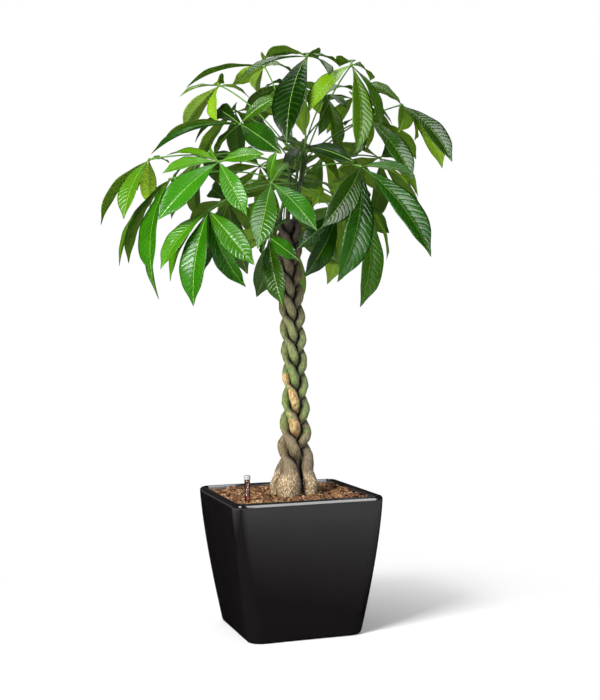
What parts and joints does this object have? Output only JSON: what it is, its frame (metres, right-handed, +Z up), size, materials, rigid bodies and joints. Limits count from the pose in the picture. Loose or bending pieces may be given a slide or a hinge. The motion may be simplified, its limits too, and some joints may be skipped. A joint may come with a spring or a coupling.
{
  "type": "potted money tree",
  "caption": "House plant with plaited trunks and a crown of palmate leaves, in a square tapered glossy planter with a liner, bark-topped soil and a water gauge.",
  "frame": {"origin": "centre of the planter's underside, on the floor it stands on", "axes": "+Z up along the trunk, -Y out of the planter's front wall, +X to the right of whoever faces that wall"},
  "size_m": [0.8319, 0.6081, 1.429],
  "materials": {
    "planter": "high-gloss black lacquer",
    "liner": "moulded, satin black",
    "granulate": "loose mineral granules",
    "soil": "bark chips on potting soil",
    "gauge_tube": "clear moulded plastic",
    "gauge_cap": "moulded grey",
    "gauge_float": "moulded dark red",
    "bark": "corky bark, grey-green to tan",
    "shoot": "young green stem",
    "leaf": "waxy leaf"
  },
  "bodies": {
    "root": {"gauge_cap": "gauge_cap", "gauge_float": "gauge_float", "gauge_tube": "gauge_tube", "granulate": "granulate", "leaf_back_1": "leaf", "leaf_back_10": "leaf", "leaf_back_2": "leaf", "leaf_back_3": "leaf", "leaf_back_4": "leaf", "leaf_back_5": "leaf", "leaf_back_6": "leaf", "leaf_back_7": "leaf", "leaf_back_8": "leaf", "leaf_back_9": "leaf", "leaf_front_left": "leaf", "leaf_front_low_left": "leaf", "leaf_front_middle": "leaf", "leaf_front_right": "leaf", "leaf_heart_front": "leaf", "leaf_heart_upper": "leaf", "leaf_left_hanging": "leaf", "leaf_left_outer": "leaf", "leaf_left_upper": "leaf", "leaf_low_middle": "leaf", "leaf_low_right": "leaf", "leaf_right_hanging": "leaf", "leaf_right_outer": "leaf", "leaf_right_upper": "leaf", "leaf_top_back": "leaf", "leaf_top_front": "leaf", "leaf_top_left": "leaf", "leaf_top_right": "leaf", "leaf_young": "leaf", "liner": "liner", "planter": "planter", "shoot_back": "shoot", "shoot_far": "shoot", "shoot_front": "shoot", "shoot_left": "shoot", "shoot_right": "shoot", "soil": "soil", "trunk_back": "bark", "trunk_front": "bark", "trunk_left": "bark", "trunk_middle": "bark", "trunk_right": "bark"}
  },
  "joints": []
}
